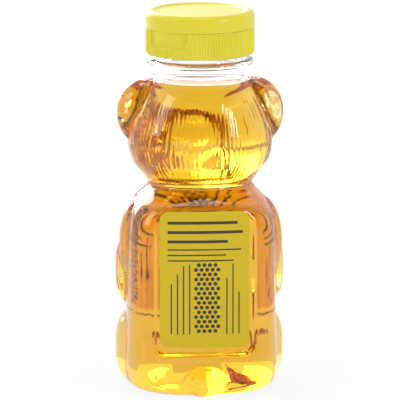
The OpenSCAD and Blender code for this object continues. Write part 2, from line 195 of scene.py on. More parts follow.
# Thread in the closure: the turns at which it starts and ends, and its depth
CAP_TURNS, CAP_THREAD = (0.35, 1.2), 1.2

# Closure: radii of its walls, plug seal and spout, rounding of the lid's edge, depth of its
# dish, and the direction of the thumb recess from +X
RIB_CREST = LID_HIGH[0] - 0.1
SKIRT_IN = LID_HIGH[0] - 1.7
LID_IN = LID_HIGH[0] - 1.3
SEAL_R = BORE_R - 0.15
SPOUT_R = 3.2
LID_EDGE, DISH_DEPTH = 2.2, 0.7
THUMB_ANGLE = 47.0

# Grip ribs and thumb recess, in the skirt: depths, half width, height and corner
RIB_DEPTH, THUMB_DEPTH, LAND_DEPTH = 0.3, 0.95, 0.9
THUMB_HALF, THUMB_H, THUMB_R = 9.0, 6.2, 2.7

# Film hinge: its lugs' sizes along, round and up, their middle's radius, and the web
BASE_LUG, BASE_LUG_R, BASE_LUG_DROP = (1.1, 9.5, 1.9), 20.5, 1.3
LID_LUG, LID_LUG_R, LID_LUG_RISE = (1.0, 9.5, 1.9), 20.55, 1.24
LUG_EDGE, WEB_THICK = 0.2, 0.35

# The bear's trunk and head: height, half width, depth behind and in front, squareness of both
STATIONS = np.array([
    [0, 24.5, 21.5, 21.5, 2.4, 2.3], [1.2, 26.8, 23.8, 23.8, 2.6, 2.4],
    [4, 28.2, 25.4, 25.4, 3.2, 2.6], [12, 29, 26.4, 26.6, 3.8, 2.7],
    [30, 28.4, 26.4, 27.4, 4, 2.8], [46, 28.2, 26.4, 27.4, 4, 2.8],
    [60, 28.1, 26.4, 27, 4, 2.8], [68, 27, 26.3, 26, 3.8, 2.7],
    [73, 24.7, 25.6, 24.2, 3.2, 2.5], [76.5, 21.4, 22.4, 21.8, 2.4, 2.2],
    [79, 20, 19.4, 19.2, 2, 2], [82, 21.8, 20.4, 20.2, 2, 2],
    [88, 26.2, 24, 23.2, 2.1, 2.1], [95, 27.6, 25.2, 24, 2.2, 2.2],
    [102, 26.8, 24.8, 23.6, 2.2, 2.2], [109, 24, 22.8, 22, 2.2, 2.1],
    [115.5, 20.4, 20, 19.6, 2.1, 2.1], [GRID_TOP, NECK_R, NECK_R, NECK_R, 2, 2],
])

# Ear, upper arm, elbow, hand, thigh and foot of both sides, then tail, muzzle and nose:
# centre, half sizes, bluntness of top and bottom, softness of the crease
SIDE_LOBES = [
    [20, 1, 106, 11.7, 7.8, 13.3, 2.1, 1], [22.5, 4, 57, 8.6, 9.5, 17, 2, 1.2],
    [22.3, -3, 45, 9.9, 9, 16, 3, 1.2], [22.6, -13.6, 42, 6.6, 11.2, 9.4, 2, 0.8],
    [18, -5, 14.3, 14.2, 16.5, 17.2, 3, 1.4], [14.6, -17.5, 10.4, 9.5, 11.4, 10.2, 2.4, 0.8],
]
MIDDLE_LOBES = [
    [0, 21, 6.8, 8.6, 7.85, 7.6, 2, 1], [0, -16.5, 92.5, 9.5, 11, 8.2, 2.2, 1],
    [0, -24, 95.8, 4, 4.4, 2.9, 2, 0.5],
]

# Label panels: width, corners and edge, heights of their ends, and the radii that they bow with
PANEL_W, PANEL_R, PANEL_EDGE = 38.6, 5.0, 0.8
PANEL_LOW, FRONT_PANEL_LOW, PANEL_TOP = 16.4, 24.0, 75.0
BACK_BOW, FRONT_BOW = 120.0, 52.0

# A label's outer face over its panel, and a level between its two faces
LABEL_PROUD, LABEL_MIDDLE = 0.22, 0.16
BACK_FACE = BACK_HIGH[1] - LABEL_PROUD
FRONT_FACE = -FRONT_LOW[1] - LABEL_PROUD

# Push-up of the base, and its rings: share of the foot's outline, share of the rise
PUSH_UP = 2.6
BASE_RINGS = [(0.4, 0.93), (0.72, 0.55), (0.9, 0.0)]

# Eye and ear hollow: middle across and up, half sizes, height
EYE = (7.4, 101.2, 2.3, 2.7, 0.9)
EAR_HOLLOW = (25.6, 106.5, 4.6, 7.0, 1.0)

# Smile: middle and radius, and the band of heights that it lies in. Toes: middle, pitch
SMILE_Z, SMILE_R, SMILE_LOW, SMILE_HIGH = 95.5, 5.4, 88.0, 91.8
TOE_X, TOE_PITCH = 16.5, 3.4
CREASE = 0.45

# Arc of the head for one degree, in millimetres
DEGREE = 0.44


def station_at(z):
    """Smooth station at each height in z."""
    rows = STATIONS
    slope = np.gradient(rows, axis=0)
    slope = slope / slope[:, :1]
    i = np.clip(np.searchsorted(rows[:, 0], z, side="right") - 1, 0, len(rows) - 2)
    a, b = rows[i], rows[i + 1]
    h = (b - a)[:, :1]
    t = np.clip((z[:, None] - a[:, :1]) / h, 0, 1)
    return ((2 * t**3 - 3 * t**2 + 1) * a + (t**3 - 2 * t**2 + t) * h * slope[i]
            + (3 * t**2 - 2 * t**3) * b + (t**3 - t**2) * h * slope[i + 1])


def reach(c, s, z, lobe):
    """Distance from the axis to the far side of a lobe, or 0 where the ray misses it."""
    cx, cy, cz, ax, ay, az, blunt, _ = lobe
    cut = 1 - (np.abs(z - cz) / az) ** blunt
    a = (c / ax) ** 2 + (s / ay) ** 2
    b = c * cx / ax**2 + s * cy / ay**2
    d = b * b - a * ((cx / ax) ** 2 + (cy / ay) ** 2 - cut)
    far = (b + np.sqrt(np.maximum(d, 0))) / a
    return np.where((cut > 0) & (d > 0), far, 0)


def soft_max(a, b, k):
    """The larger radius, with the crease rounded over the width k."""
    h = np.clip(0.5 + 0.5 * (a - b) / k, 0, 1)
    return b + (a - b) * h + k * h * (1 - h)


def skin_radius(angle, z):
    """Distance from the axis to the skin, and which part each point is on."""
    c, s = np.cos(angle), np.sin(angle)
    st = station_at(z.ravel()).reshape(z.shape + (6,))
    depth = np.where(s > 0, st[..., 2], st[..., 3])
    power = np.where(s > 0, st[..., 4], st[..., 5])
    trunk = ((np.abs(c) / st[..., 1]) ** power + (np.abs(s) / depth) ** power) ** (-1 / power)
    r = trunk
    for lobe in SIDE_LOBES:
        r = soft_max(r, reach(np.abs(c), s, z, lobe), lobe[7])
    for lobe in MIDDLE_LOBES:
        r = soft_max(r, reach(c, s, z, lobe), lobe[7])
    return r, np.clip((r - trunk) / 0.6, 0, 1)


def step(low, high, x):
    """Smooth step from 0 at low to 1 at high."""
    t = np.clip((x - low) / (high - low), 0, 1)
    return t * t * (3 - 2 * t)


def value_noise(x, y, seed):
    """Smooth noise from -1 to 1 on a plane, repeatable for a seed."""
    ix, iy = np.floor(x).astype(int), np.floor(y).astype(int)
    fx, fy = x - ix, y - iy
    fx, fy = fx * fx * (3 - 2 * fx), fy * fy * (3 - 2 * fy)

    def corner(a, b):
        """Value at a corner of the grid."""
        n = np.sin(a * 127.1 + b * 311.7 + seed * 74.7) * 43758.5453
        return 2 * (n - np.floor(n)) - 1

    low = corner(ix, iy) * (1 - fx) + corner(ix + 1, iy) * fx
    high = corner(ix, iy + 1) * (1 - fx) + corner(ix + 1, iy + 1) * fx
    return low * (1 - fy) + high * fy


def fur(z, angle, pitch):
    """Height of the combed fur, from 0 to 1: wavy upright strands that run out in tufts."""
    around = np.degrees(angle) * DEGREE
    bend = 1.6 * value_noise(around / 9, z / 13, 3) + 0.7 * value_noise(around / 4, z / 6, 5)
    u = (around + bend) / pitch
    strand = 1 - np.abs(2 * (u - np.floor(u)) - 1) ** 1.3
    fine = (around * 1.9 + 1.9 * bend + 3) / pitch
    thin = 1 - np.abs(2 * (fine - np.floor(fine)) - 1)
    tuft = 0.5 + 0.5 * value_noise(around / pitch * 0.8, z / 8, 9)
    return (0.75 * strand + 0.25 * thin) * (0.35 + 0.65 * tuft)


def furry(x, y, z, on_lobe):
    """Where the skin has fur: the head apart from the ears and the muzzle, and the flanks."""
    head = step(80, 84, z) * (1 - step(110, 115, z))
    ears = step(0.2, 0.8, on_lobe) * step(94, 97, z)
    face = step(-14, -18, y) * (1 - step(11, 14, np.abs(x))) * (1 - step(103, 106, z))
    flank = step(20.0, 21.2, np.abs(x)) * step(8, 14, y) * step(17, 24, z) * (1 - step(40, 52, z))
    flank = flank * (1 - step(0.25, 0.6, on_lobe))
    return np.clip(head * (1 - ears) * (1 - face) + 0.8 * flank, 0, 1)


def outside_panel(x, z, low):
    """Distance from a panel's outline, less than 0 inside it."""
    qx = np.abs(x) - PANEL_W / 2 + PANEL_R
    qz = np.abs(z - (low + PANEL_TOP) / 2) - (PANEL_TOP - low) / 2 + PANEL_R
    return (np.hypot(np.maximum(qx, 0), np.maximum(qz, 0))
            + np.minimum(np.maximum(qx, qz), 0) - PANEL_R)


def sink_panels(p, inset):
    """Draw in the points that lie on the panels, for a skin that runs inset under them."""
    r = np.hypot(p[..., 0], p[..., 1])
    s = np.abs(p[..., 1]) / r
    behind = p[..., 1] > 0
    face = np.where(behind, BACK_FACE, FRONT_FACE) - inset
    bow = np.where(behind, BACK_BOW, FRONT_BOW) - inset
    m = face - bow
    bowed = s * m + np.sqrt(s * s * m * m - m * m + bow * bow)
    low = np.where(behind, PANEL_LOW, FRONT_PANEL_LOW)
    depth = inset - outside_panel(p[..., 0] * bowed / r, p[..., 2], low)
    share = np.clip(depth / PANEL_EDGE, 0, 1)
    k = np.where(bowed < r, 1 + (bowed / r - 1) * share, 1)
    out = p.copy()
    out[..., 0] *= k
    out[..., 1] *= k
    return out


def dome(x, z, cx, cz, rx, rz):
    """Round boss of height 1 at cx, cz."""
    q = 1 - ((np.abs(x) - cx) / rx) ** 2 - ((z - cz) / rz) ** 2
    return np.sqrt(np.maximum(q, 0))


def relief(p, angle, on_lobe, settings):
    """Height of the relief over the plain skin: fur, eyes, mouth, ears and toes."""
    x, y, z = p[..., 0], p[..., 1], p[..., 2]
    mask = furry(x, y, z, on_lobe)
    height = -settings.fur_depth * mask * (1 - fur(z, angle, settings.fur_pitch))
    eyes = dome(x, z, *EYE[:4])
    height = np.where((y < -6) & (eyes > 0), EYE[4] * eyes, height)
    smile = np.abs(np.hypot(x, z - SMILE_Z) - SMILE_R)
    smile = (1 - step(0.3, 0.75, smile)) * (z < SMILE_HIGH) * (z > SMILE_LOW)
    height = height - CREASE * smile * (y < -18)
    hollow = dome(x, z, *EAR_HOLLOW[:4]) ** 2
    height = height - EAR_HOLLOW[4] * hollow * hollow * (3 - 2 * hollow) * (y < -1)
    for k in (-1, 0, 1):
        toe = (1 - step(0.25, 0.7, np.abs(np.abs(x) - TOE_X - TOE_PITCH * k))) * (y < -22)
        height = height - CREASE * toe * step(12.5, 14.5, z) * (1 - step(18, 20, z))
    return height


def skin(z_rows, columns, inset, settings, relief_on):
    """Grid of points of the bear's skin, moved inwards by inset, with the panels sunk."""
    angle = np.linspace(0, 2 * math.pi, columns, endpoint=False)[None, :] + 0 * z_rows[:, None]
    z = z_rows[:, None] + 0 * angle
    r, on_lobe = skin_radius(angle, z)
    p = np.stack([r * np.cos(angle), r * np.sin(angle), z], axis=-1)
    along = np.roll(p, -1, axis=1) - np.roll(p, 1, axis=1)
    up = np.concatenate([p[1:], p[-1:]]) - np.concatenate([p[:1], p[:-1]])
    out = np.cross(along, up)
    out /= np.linalg.norm(out, axis=-1, keepdims=True)
    lift = relief(p, angle, on_lobe, settings) if relief_on else 0 * z
    p = p + out * (lift - inset)[..., None]
    return sink_panels(p, inset)


def floor_rings(ring, lift):
    """Rings of the floor over the push-up, from the middle out."""
    rings = []
    for share, rise in BASE_RINGS:
        row = ring * share
        row[:, 2] = lift + PUSH_UP * rise
        rings.append(row)
    return rings


def neck_rings(angle, profile):
    """Rings of the neck, round the axis, from pairs of radius and height."""
    return [np.stack([r * np.cos(angle), r * np.sin(angle), z + 0 * angle], axis=-1)
            for r, z in profile]


def wound_past(angle, z, start):
    """Distance in height to a thread that starts at start, and the turns to its nearest point."""
    past = (z - start) / PITCH
    share = angle / (2 * math.pi)
    turns = np.round(past - share) + share
    return np.abs(past - turns) * PITCH, turns


def closed_loft(name, rings, first, last):
    """Closed object through a list of rings, with a point at each end."""
    n = len(rings[0])
    points = np.concatenate(rings + [np.array([first, last], float)])
    start, end = len(points) - 2, len(points) - 1
    j = np.arange(n)
    k = (j + 1) % n
    faces = []
    for i in range(len(rings) - 1):
        a, b = i * n, (i + 1) * n
        faces.extend(np.stack([a + j, a + k, b + k, b + j], axis=1).tolist())
    faces.extend(np.stack([start + 0 * j, k, j], axis=1).tolist())
    top = (len(rings) - 1) * n
    faces.extend(np.stack([end + 0 * j, top + j, top + k], axis=1).tolist())
    return mesh_object(name, points, faces)


def row_heights(low, high, spacing):
    """Even heights from low to high."""
    return np.linspace(low, high, max(2, round((high - low) / spacing)) + 1)


# Materials

# White, and the share of the reflection that is left where honey wets the wall
WHITE = (1, 1, 1, 1)
WETTED = 0.05

# Blocks of rules on a label: distance of the first rule from the label's edge, pitch, weight,
# and the share of the block's length that each rule has
HEAD_RULES = (4.3, 3.6, 1.15, (0.93, 1.0, 0.8))
SMALL_RULES = (14.6, 2.1, 0.55, (0.98, 0.78, 0.88))
LEFT_RULES = (4.4, 2.3, 0.5, (0.72, 0.86, 0.98, 1.0))
RIGHT_RULES = (4.0, 2.3, 0.5, (0.6, 1.0, 0.8))
PRINT_LEFT, PRINT_RIGHT = 3, 2.6

# Ends of the upright rules from the label's middle, and the patch of dots: its middle, its
# half sizes, the dots' pitch and radius
UPRIGHT_LOW, UPRIGHT_HIGH = -21, 6
PATCH_X, PATCH_Z, PATCH_W, PATCH_H = 0.9, -7.0, 4.4, 13.0
DOT_PITCH, DOT_R = 2.1, 0.756


def operator_of(operation, swapped=False):
    """Method that adds one Math node, with its two values swapped where it is reflected."""
    def method(self, *others):
        """Add the node."""
        if swapped:
            return S(self.shader, others[0]).math(operation, self)
        return self.math(operation, *others)
    return method


class S:
    """A shader value: a socket or a number, with the usual arithmetic."""

    def __init__(self, shader, value):
        self.shader = shader
        self.value = value

    def math(self, operation, *others):
        """Math node on this value and the others."""
        values = dict(enumerate((self, *others)))
        return self.shader.node("ShaderNodeMath", {"operation": operation}, values)

    __add__ = __radd__ = operator_of("ADD")
    __sub__ = operator_of("SUBTRACT")
    __rsub__ = operator_of("SUBTRACT", swapped=True)
    __mul__ = __rmul__ = operator_of("MULTIPLY")
    __truediv__ = operator_of("DIVIDE")
    __lt__ = operator_of("LESS_THAN")
    __gt__ = operator_of("GREATER_THAN")
    __abs__ = operator_of("ABSOLUTE")


class Shader:
    """The nodes of a material or a world, added by type, settings and socket values."""

    def __init__(self, name, world=False):
        self.material = (bpy.data.worlds if world else bpy.data.materials).new(name)
        self.material.use_nodes = True
        self.tree = self.material.node_tree
        self.tree.nodes.clear()
        kind = "World" if world else "Material"
        self.out = self.tree.nodes.new("ShaderNodeOutput" + kind)

    def feed(self, socket, value):
        """Link a socket to a value, or set it."""
        if isinstance(value, S):
            value = value.value
        if isinstance(value, bpy.types.NodeSocket):
            self.tree.links.new(value, socket)
        else:
            socket.default_value = value

    def node(self, kind, settings=None, sockets=None, output=0):
        """Node of a type, with its settings and then its sockets' values or links."""
        made = self.tree.nodes.new(kind)
        for key, value in (settings or {}).items():
            setattr(made, key, value)
        for key, value in (sockets or {}).items():
            self.feed(made.inputs[key], value)
        return S(self, made.outputs[output])

    def axes(self, vector):
        """The three parts of a vector."""
        parts = self.node("ShaderNodeSeparateXYZ", None, {0: vector}).value.node
        return [S(self, socket) for socket in parts.outputs]

    def place(self):
        """The three Object coordinates, in millimetres."""
        return [part * (1 / MM) for part in self.axes(self.node("ShaderNodeTexCoord", output=3))]

    def noise(self, scale, detail=3.0):
        """Noise on Object coordinates, with a scale per metre."""
        coords = self.node("ShaderNodeTexCoord", output=3)
        return self.node("ShaderNodeTexNoise", None,
                         {"Vector": coords, "Scale": scale, "Detail": detail})

    def mix(self, factor, a, b):
        """Colour between a and b."""
        return self.node("ShaderNodeMix", {"data_type": "RGBA"}, {0: factor, 6: a, 7: b}, output=2)

    def bump(self, height, strength, distance):
        """Normal from a height."""
        return self.node("ShaderNodeBump", None,
                         {"Height": height, "Strength": strength, "Distance": distance})

    def ray(self, *kinds):
        """1 for rays of the kinds named, and 0 for the rest."""
        path = self.tree.nodes.new("ShaderNodeLightPath")
        found = S(self, path.outputs[f"Is {kinds[0]} Ray"])
        for kind in kinds[1:]:
            found = found.math("MAXIMUM", S(self, path.outputs[f"Is {kind} Ray"]))
        return found

    def finish(self, sockets, volume=None):
        """The material, of one Principled surface and a volume if there is one."""
        self.feed(self.out.inputs["Surface"], self.node("ShaderNodeBsdfPrincipled", None, sockets))
        if volume:
            self.feed(self.out.inputs["Volume"], volume)
        return self.material


def rgba(colour):
    """Colour with full alpha."""
    return tuple(colour)[:3] + (1.0,)


def clear_plastic(settings, name, glint):
    """Clear blown plastic, with a faint unevenness of its gloss. glint is the share of its
    reflection that is left, which is small where honey wets the wall."""
    sh = Shader(name)
    wobble = sh.noise(55.0, 2.0)
    rough = 0.006 + 0.012 * sh.noise(30.0, 3.0)
    return sh.finish({
        "Base Color": rgba(settings.plastic), "Roughness": rough, "IOR": settings.plastic_ior,
        "Transmission Weight": 1.0, "Specular Tint": (glint, glint, glint, 1),
        "Normal": sh.bump(wobble, 0.12, 0.0006)})


def honey_fill(settings):
    """Clear amber honey that takes up blue along the way that light goes through it."""
    sh = Shader("honey")
    volume = sh.node("ShaderNodeVolumeAbsorption", None,
                     {"Color": rgba(settings.tint), "Density": settings.absorption})
    return sh.finish({
        "Base Color": WHITE, "Roughness": 0.0, "IOR": settings.honey_ior,
        "Transmission Weight": 1.0, "Specular Tint": (WETTED, WETTED, WETTED, 1)}, volume)


def line_block(x, z, left, right, top, rules):
    """Rows of plain rules: 1 on the ink. Each row ends at its own share of the width."""
    drop, pitch, weight, shares = rules
    total = None
    for i, share in enumerate(shares):
        length = (right - left) * share
        row = top - drop - pitch * i
        rule = (abs(x - (left + length / 2)) < length / 2) * (abs(z - row) < weight / 2)
        total = total + rule if total else rule
    return total


def dot_patch(x, z):
    """Round dots in staggered rows: 1 on the ink. Whole dots only, and no part of one."""
    rise = DOT_PITCH * math.sin(math.radians(60))
    past = 40.5
    row = (z / rise + past).math("FLOOR")
    shift = row.math("MODULO", 2.0) * (DOT_PITCH / 2)
    local_x = (x + shift + DOT_PITCH * 20.5).math("MODULO", DOT_PITCH) - DOT_PITCH / 2
    local_z = (z + rise * past).math("MODULO", rise) - rise / 2
    dot = (local_x * local_x + local_z * local_z).math("SQRT") < DOT_R
    return dot * (abs(x - local_x) < PATCH_W) * (abs(z - local_z) < PATCH_H)


def label_film(name, settings, low, high, bow, face, side, share):
    """Printed film: plain rules and a patch of round dots in dark ink on yellow, printed on
    its outer face only. side is 1 behind and -1 in front, and share is its translucence."""
    sh = Shader(name)
    x, y, z = sh.place()
    across = x * (-side)
    up = z - (low[2] + high[2]) / 2
    half_w, half_h = (high[0] - low[0]) / 2, (high[2] - low[2]) / 2
    left, right = PRINT_LEFT - half_w, half_w - PRINT_RIGHT
    from_bow = y - side * (face - bow)
    outer = (x * x + from_bow * from_bow).math("SQRT") > bow + LABEL_MIDDLE
    ink = line_block(across, up, left, right, half_h, HEAD_RULES)
    ink = ink + line_block(across, up, left, right, half_h, SMALL_RULES)
    ink = ink + line_block(up, across * -1, UPRIGHT_LOW, UPRIGHT_HIGH, half_w, LEFT_RULES)
    ink = ink + line_block(up, across, UPRIGHT_LOW, UPRIGHT_HIGH, half_w, RIGHT_RULES)
    ink = ink + dot_patch(across - PATCH_X, up - PATCH_Z)
    ink = (ink > 0.5) * outer
    grain = sh.noise(420.0, 2.0)
    ground = sh.mix(0.10 * grain, rgba(settings.ground), (0.78, 0.60, 0.02, 1))
    colour = sh.mix(ink, ground, rgba(settings.ink))
    rough = 0.32 + 0.06 * grain - 0.1 * ink
    surface = sh.node("ShaderNodeBsdfPrincipled", None, {
        "Base Color": colour, "Roughness": rough, "IOR": 1.5,
        "Normal": sh.bump(grain, 0.04, 0.0004), "Coat Weight": 0.25, "Coat Roughness": 0.12})
    through = sh.node("ShaderNodeBsdfTranslucent", None, {"Color": rgba(settings.ground)})
    both = sh.node("ShaderNodeMixShader", None, {0: share * (1 - ink), 1: surface, 2: through})
    sh.feed(sh.out.inputs["Surface"], both)
    return sh.material


def closure_plastic(name, settings):
    """Satin moulded polypropylene, a little uneven, with fine flow marks."""
    sh = Shader(name)
    cloud = sh.noise(60.0, 3.0)
    fine = sh.noise(1500.0, 2.0)
    colour = sh.mix(0.25 * cloud, rgba(settings.colour), (0.80, 0.66, 0.02, 1))
    rough = 0.26 + 0.10 * cloud
    return sh.finish({
        "Base Color": colour, "Roughness": rough, "IOR": 1.49, "Subsurface Weight": 0.12,
        "Subsurface Radius": (0.004, 0.003, 0.0008), "Normal": sh.bump(fine, 0.05, 0.0002)})


def washer_foam(settings):
    """Pale foam with fine cells."""
    sh = Shader("washer_foam")
    cells = sh.node("ShaderNodeTexVoronoi", None, {"Scale": 2500.0})
    colour = sh.mix(0.3 * cells, rgba(settings.foam), (0.7, 0.69, 0.64, 1))
    return sh.finish({"Base Color": colour, "Roughness": 0.75,
                      "Normal": sh.bump(cells, 0.3, 0.0002)})


def rounded_path(corners, closed):
    """Outline through corners (r, z, rounding), with each corner rounded by a short arc."""
    out = []
    n = len(corners)
    for i, (r, z, rounding) in enumerate(corners):
        here = np.array([r, z], float)
        if rounding == 0 or (not closed and i in (0, n - 1)):
            out.append(here)
            continue
        before = np.array(corners[i - 1][:2], float) - here
        after = np.array(corners[(i + 1) % n][:2], float) - here
        cut = min(rounding, np.linalg.norm(before) * 0.45, np.linalg.norm(after) * 0.45)
        a = here + before / np.linalg.norm(before) * cut
        b = here + after / np.linalg.norm(after) * cut
        for t in np.linspace(0, 1, 5 if rounding > 0.6 else 4):
            out.append((1 - t) ** 2 * a + 2 * t * (1 - t) * here + t * t * b)
    return out


def turned(name, outline, steps, closed=True):
    """Outline in millimetres turned round the axis, as on a lathe."""
    n = len(outline)
    points = [(r * MM, 0, z * MM) for r, z in outline]
    edges = [(i, (i + 1) % n) for i in range(n if closed else n - 1)]
    mesh = bpy.data.meshes.new(name)
    mesh.from_pydata(points, edges, [])
    ob = bpy.data.objects.new(name, mesh)
    bpy.context.scene.collection.objects.link(ob)
    only(ob)
    bpy.ops.object.mode_set(mode="EDIT")
    bpy.ops.mesh.select_all(action="SELECT")
    bpy.ops.mesh.spin(steps=steps, angle=2 * math.pi, center=(0, 0, 0), axis=(0, 0, 1))
    bpy.ops.mesh.select_all(action="SELECT")
    bpy.ops.mesh.remove_doubles(threshold=0.004 * MM)
    bpy.ops.mesh.normals_make_consistent(inside=False)
    bpy.ops.object.mode_set(mode="OBJECT")
    return ob


def points_of(ob):
    """A mesh's points in millimetres."""
    co = np.empty(len(ob.data.vertices) * 3)
    ob.data.vertices.foreach_get("co", co)
    return co.reshape(-1, 3) / MM


def move_points(ob, points):
    """Put a mesh's points at new places, in millimetres."""
    ob.data.vertices.foreach_set("co", (points * MM).ravel())
    ob.data.update()


def block(name, middle, size, turn, bevel):
    """Block with rounded edges, turned about the axis, in millimetres and degrees."""
    clear_selection()
    bpy.ops.mesh.primitive_cube_add(size=1, location=(0, 0, 0))
    ob = bpy.context.object
    ob.name = name
    ob.scale = [v * MM for v in size]
    ob.location = (middle[0] * MM, 0, middle[1] * MM)
    bpy.ops.object.transform_apply(location=True, rotation=True, scale=True)
    edge = ob.modifiers.new("edge", "BEVEL")
    edge.width = bevel * MM
    edge.segments = 3
    bpy.ops.object.modifier_apply(modifier=edge.name)
    ob.rotation_euler = (0, 0, math.radians(turn))
    bpy.ops.object.transform_apply(location=True, rotation=True, scale=True)
    return ob


def joined(ob, *others):
    """One object of several."""
    clear_selection()
    for other in others:
        other.select_set(True)
    ob.select_set(True)
    bpy.context.view_layer.objects.active = ob
    bpy.ops.object.join()
    return ob


def wear(ob, material):
    """Give a piece one material."""
    ob.data.materials.clear()
    ob.data.materials.append(material)


# Pieces


class HONEYBEAR_OT_bottle(bpy.types.Operator):
    """Blown bear with combed fur, sunk panels, shoulder, support ring, thread and lip"""
    bl_idname = "honeybear.bottle"
    bl_label = "Bottle"

    def execute(self, context):
        settings = context.scene.honeybear_bear
        n = settings.columns
        angle = np.linspace(0, 2 * math.pi, n, endpoint=False)
        rows = row_heights(BODY_LOW[2], GRID_TOP, settings.row_step)
        outer = skin(rows, n, 0.0, settings, True)
        inner_rows = row_heights(1.4, GRID_TOP, 1.5)
        inner = skin(inner_rows, n, settings.wall, settings, False)
        inner[-1] = neck_rings(angle, [(BORE_R, GRID_TOP)])[0]
        foot = [(NECK_R, GRID_TOP + 0.5), (NECK_R, RING_LOW - 0.35), (NECK_R + 0.1, RING_LOW - 0.08),
                (NECK_R + 0.35, RING_LOW + 0.03), (RING_R - 0.55, RING_LOW + 0.3),
                (RING_R - 0.12, RING_LOW + 0.45), (RING_R, RING_LOW + 0.8),
                (RING_R, RING_HIGH - 0.5), (RING_R - 0.12, RING_HIGH - 0.17),
                (RING_R - 0.45, RING_HIGH), (NECK_R + 0.3, RING_HIGH), (NECK_R + 0.06, RING_HIGH + 0.1)]
        outside = neck_rings(angle, foot)
        for z in row_heights(RING_HIGH + 0.4, LIP - 0.5, 0.42):
            off, turns = wound_past(angle, z, THREAD_LOW)
            ends = step(-0.02, 0.03, turns) * (1 - step(TURNS - 0.03, TURNS + 0.02, turns))
            r = NECK_R + THREAD_DEPTH * (1 - step(0.45, 1.1, off)) * ends
            outside.append(np.stack([r * np.cos(angle), r * np.sin(angle), z + 0 * r], axis=-1))
        edge = [(NECK_R - 0.12, LIP - 0.14), (NECK_R - 0.45, LIP), (BORE_R + 0.25, LIP),
                (BORE_R, LIP - 0.25), (BORE_R, LIP - 6), (BORE_R, GRID_TOP + 1)]
        outside += neck_rings(angle, edge)
        rings = (floor_rings(outer[0], 0.0) + list(outer) + outside + list(inner[::-1])
                 + floor_rings(inner[0], settings.wall)[::-1])
        bottle = closed_loft("bottle", rings, (0, 0, PUSH_UP), (0, 0, PUSH_UP + settings.wall))
        settle(bottle, "bottle")
        smooth(bottle)
        wear(bottle, clear_plastic(settings, "clear_pet", 1.0))
        bottle.data.materials.append(clear_plastic(settings, "wetted_pet", WETTED))
        # The inside wall up to the level, which honey wets
        first_wet = (len(BASE_RINGS) + len(outer) + len(outside)) * n
        for face in bottle.data.polygons:
            if face.vertices[0] >= first_wet and face.center.z < HONEY_HIGH[2] * MM:
                face.material_index = 1
        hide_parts("bottle_body", "bottle_neck")
        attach(bottle, "bottle")
        return {"FINISHED"}


class HONEYBEAR_OT_honey(bpy.types.Operator):
    """Honey up to its level, which creeps a little up the wall"""
    bl_idname = "honeybear.honey"
    bl_label = "Honey"

    def execute(self, context):
        bear, settings = context.scene.honeybear_bear, context.scene.honeybear_honey
        n = bear.columns // 2
        inset = bear.wall - settings.sink
        level = HONEY_HIGH[2]
        rows = row_heights(1.0, level, 1.1)
        rings = list(skin(rows, n, inset, bear, False))
        top = rings[-1].copy()
        top[:, 2] = level
        surface = []
        for share, drop in ((0.965, 0.35), (0.9, 0.55), (0.5, 0.6)):
            ring = top * share
            ring[:, 2] = level - drop
            surface.append(ring)
        rings = floor_rings(rings[0], inset) + rings[:-1] + [top] + surface
        honey = closed_loft("honey_fill", rings, (0, 0, PUSH_UP + inset), (0, 0, level - 0.6))
        settle(honey, "honey_fill")
        smooth(honey, 40)
        wear(honey, honey_fill(settings))
        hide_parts("honey")
        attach(honey, "bottle")
        return {"FINISHED"}


class HONEYBEAR_OT_labels(bpy.types.Operator):
    """Printed film in the back and front panels"""
    bl_idname = "honeybear.labels"
    bl_label = "Labels"

    def execute(self, context):
        settings = context.scene.honeybear_labels
        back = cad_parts["back_label"]
        wear(back, label_film("back_label", settings, BACK_LOW, BACK_HIGH, BACK_BOW, BACK_FACE, 1,
                              settings.translucence))
        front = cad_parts["front_label"]
        wear(front, label_film("front_label", settings, FRONT_LOW, FRONT_HIGH, FRONT_BOW,
                               FRONT_FACE, -1, settings.front_translucence))
        return {"FINISHED"}


